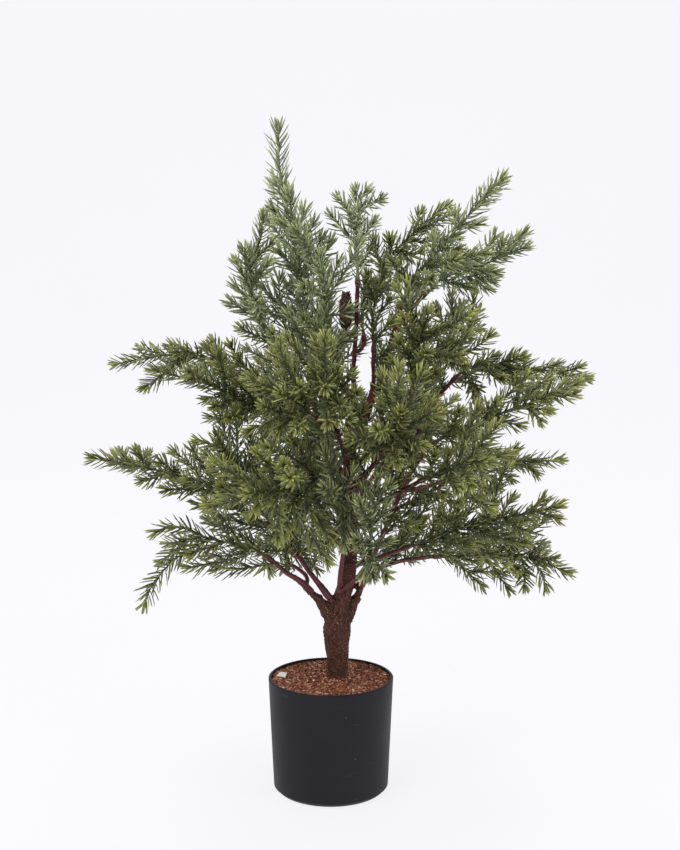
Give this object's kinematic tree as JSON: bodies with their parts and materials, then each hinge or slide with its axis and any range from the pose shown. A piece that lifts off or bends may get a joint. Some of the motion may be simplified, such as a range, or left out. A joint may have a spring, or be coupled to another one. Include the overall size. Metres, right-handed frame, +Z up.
{
  "type": "artificial tabletop tree",
  "caption": "Small artificial spruce in a plain round pot: weighted base, bark-coated wire trunk, bendable branch stems carrying moulded needle sprays and small cones.",
  "frame": {"origin": "centre of the resting face of the pot, on the axis of the pot", "axes": "+Z up; -Y is the front; +X is the right-hand side seen from the front"},
  "size_m": [0.4383, 0.3262, 0.595],
  "materials": {
    "pot_plastic": "matte, lightly textured injection-moulded plastic, blue-black",
    "cement": "rough cast cement",
    "sawdust": "glued red-brown sawdust and chips with pale flecks",
    "steel": "plain drawn steel rod",
    "bark": "glued sawdust and bark powder over wrapped wire, rough",
    "stem_plastic": "maroon plastic coating over steel wire, knobbly, slightly satin",
    "needle_plastic": "moulded polyethylene needles, dark to mid green with yellow-green tips",
    "cone_scales": "dark maroon-brown small cone scales"
  },
  "bodies": {
    "trunk_and_pot": {"pot": "pot_plastic", "cement_ballast": "cement", "sawdust_topping": "sawdust", "trunk_rod": "steel", "trunk": "bark"},
    "branch_leader": {"leader_stem": "stem_plastic", "leader_top": "needle_plastic", "leader_front": "needle_plastic", "leader_left": "needle_plastic"},
    "branch_crown": {"crown_stem": "stem_plastic", "crown_top": "needle_plastic", "crown_side": "needle_plastic", "pine_cone_upper": "cone_scales"},
    "branch_upper_centre": {"upper_centre_stem": "stem_plastic", "upper_centre_spray": "needle_plastic"},
    "branch_upper_right": {"upper_right_stem": "stem_plastic", "right_top": "needle_plastic", "right_high": "needle_plastic"},
    "branch_mid_right": {"mid_right_stem": "stem_plastic", "mid_right_front": "needle_plastic", "mid_right_back": "needle_plastic"},
    "branch_right_upper": {"right_upper_stem": "stem_plastic", "right_upper_spray": "needle_plastic"},
    "branch_right_mid": {"right_mid_stem": "stem_plastic", "right_mid_spray": "needle_plastic", "pine_cone_lower": "cone_scales"},
    "branch_right_front": {"right_front_stem": "stem_plastic", "right_front_spray": "needle_plastic", "right_side_spray": "needle_plastic"},
    "branch_right_low_front": {"right_low_front_stem": "stem_plastic", "right_low_front_spray": "needle_plastic"},
    "branch_right_low": {"right_low_stem": "stem_plastic", "right_low_spray": "needle_plastic"},
    "branch_left_upper": {"left_upper_stem": "stem_plastic", "left_upper_tip": "needle_plastic", "left_upper_side": "needle_plastic"},
    "branch_left_mid": {"left_mid_stem": "stem_plastic", "left_mid_tip": "needle_plastic", "left_mid_side": "needle_plastic"},
    "branch_left_low": {"left_low_stem": "stem_plastic", "left_low_tip": "needle_plastic", "left_low_inner": "needle_plastic"},
    "branch_front_left": {"front_left_stem": "stem_plastic", "front_left_spray": "needle_plastic"},
    "branch_front_low": {"front_low_stem": "stem_plastic", "front_low_spray": "needle_plastic", "front_low_right_spray": "needle_plastic"},
    "branch_upper_front": {"upper_front_stem": "stem_plastic", "upper_front_centre": "needle_plastic", "upper_front_left": "needle_plastic"},
    "branch_front_right": {"front_right_stem": "stem_plastic", "front_right_spray": "needle_plastic"},
    "branch_back_left": {"back_left_stem": "stem_plastic", "back_left_spray": "needle_plastic"},
    "branch_back_right": {"back_right_stem": "stem_plastic", "back_right_spray": "needle_plastic"},
    "branch_back_top": {"back_top_stem": "stem_plastic", "back_top_spray": "needle_plastic"},
    "branch_back_low": {"back_low_stem": "stem_plastic", "back_low_spray": "needle_plastic"}
  },
  "joints": [
    {"name": "bend_leader", "type": "hinge", "parent": "trunk_and_pot", "child": "branch_leader", "pos_m": [0.00777, -0.001, 0.29754], "axis": [-0.7997, -0.5227, -0.2955], "range_deg": [-15, 16]},
    {"name": "bend_crown", "type": "hinge", "parent": "trunk_and_pot", "child": "branch_crown", "pos_m": [0.02102, 0.003, 0.3598], "axis": [0.9684, -0.2496, 0], "range_deg": [-15, 20]},
    {"name": "bend_upper_centre", "type": "hinge", "parent": "trunk_and_pot", "child": "branch_upper_centre", "pos_m": [0.01914, -0.009, 0.3232], "axis": [0.9543, -0.2118, -0.2108], "range_deg": [-13, 20]},
    {"name": "bend_upper_right", "type": "hinge", "parent": "trunk_and_pot", "child": "branch_upper_right", "pos_m": [0.02429, 0.007, 0.32019], "axis": [0.8899, 0.0033, -0.4562], "range_deg": [-15, 15]},
    {"name": "bend_mid_right", "type": "hinge", "parent": "trunk_and_pot", "child": "branch_mid_right", "pos_m": [0.0219, -0.006, 0.29921], "axis": [-0.6928, -0.6638, 0.2818], "range_deg": [-15, 14]},
    {"name": "bend_right_upper", "type": "hinge", "parent": "trunk_and_pot", "child": "branch_right_upper", "pos_m": [0.02254, 0.008, 0.28325], "axis": [-0.3379, -0.8532, 0.3972], "range_deg": [-14, 17]},
    {"name": "bend_right_mid", "type": "hinge", "parent": "trunk_and_pot", "child": "branch_right_mid", "pos_m": [0.028, -0.004, 0.19017], "axis": [-0.414, -0.9103, 0], "range_deg": [-8, 10]},
    {"name": "bend_right_front", "type": "hinge", "parent": "trunk_and_pot", "child": "branch_right_front", "pos_m": [0.01921, -0.01, 0.25246], "axis": [-0.3655, -0.9308, 0], "range_deg": [-12, 13]},
    {"name": "bend_right_low_front", "type": "hinge", "parent": "trunk_and_pot", "child": "branch_right_low_front", "pos_m": [0.02012, -0.014, 0.21202], "axis": [0.1154, -0.5838, -0.8037], "range_deg": [-9, 20]},
    {"name": "bend_right_low", "type": "hinge", "parent": "trunk_and_pot", "child": "branch_right_low", "pos_m": [0.02859, 0.004, 0.19099], "axis": [0.1783, -0.4932, -0.8514], "range_deg": [-15, 20]},
    {"name": "bend_left_upper", "type": "hinge", "parent": "trunk_and_pot", "child": "branch_left_upper", "pos_m": [0.002, 0.004, 0.23395], "axis": [-0.693, 0.5087, -0.5109], "range_deg": [-14, 17]},
    {"name": "bend_left_mid", "type": "hinge", "parent": "trunk_and_pot", "child": "branch_left_mid", "pos_m": [-0.0016, -0.008, 0.18094], "axis": [-0.6804, 0.4266, -0.5959], "range_deg": [-13, 17]},
    {"name": "bend_left_low", "type": "hinge", "parent": "trunk_and_pot", "child": "branch_left_low", "pos_m": [-0.01791, -0.01, 0.1861], "axis": [-0.5707, -0.011, -0.8211], "range_deg": [-15, 20]},
    {"name": "bend_front_left", "type": "hinge", "parent": "trunk_and_pot", "child": "branch_front_left", "pos_m": [0.00571, -0.012, 0.28381], "axis": [-0.9114, 0.4115, 0], "range_deg": [-15, 13]},
    {"name": "bend_front_low", "type": "hinge", "parent": "trunk_and_pot", "child": "branch_front_low", "pos_m": [0.00795, -0.014, 0.18712], "axis": [-0.9609, -0.277, 0], "range_deg": [-15, 19]},
    {"name": "bend_upper_front", "type": "hinge", "parent": "trunk_and_pot", "child": "branch_upper_front", "pos_m": [0.01376, -0.014, 0.30946], "axis": [-0.9509, 0.3096, 0], "range_deg": [-13, 20]},
    {"name": "bend_front_right", "type": "hinge", "parent": "trunk_and_pot", "child": "branch_front_right", "pos_m": [0.02183, -0.014, 0.27871], "axis": [-0.9382, -0.3461, 0], "range_deg": [-15, 20]},
    {"name": "bend_back_left", "type": "hinge", "parent": "trunk_and_pot", "child": "branch_back_left", "pos_m": [0.01115, 0.012, 0.28352], "axis": [0.8686, 0.4956, 0], "range_deg": [-15, 19]},
    {"name": "bend_back_right", "type": "hinge", "parent": "trunk_and_pot", "child": "branch_back_right", "pos_m": [0.02124, 0.011, 0.25582], "axis": [0.8134, -0.5818, 0], "range_deg": [-15, 20]},
    {"name": "bend_back_top", "type": "hinge", "parent": "trunk_and_pot", "child": "branch_back_top", "pos_m": [0.02115, 0.012, 0.33331], "axis": [0.9713, 0.2379, 0], "range_deg": [-15, 20]},
    {"name": "bend_back_low", "type": "hinge", "parent": "trunk_and_pot", "child": "branch_back_low", "pos_m": [0.01208, 0.012, 0.23883], "axis": [0.9887, 0.1497, 0], "range_deg": [-15, 20]}
  ]
}
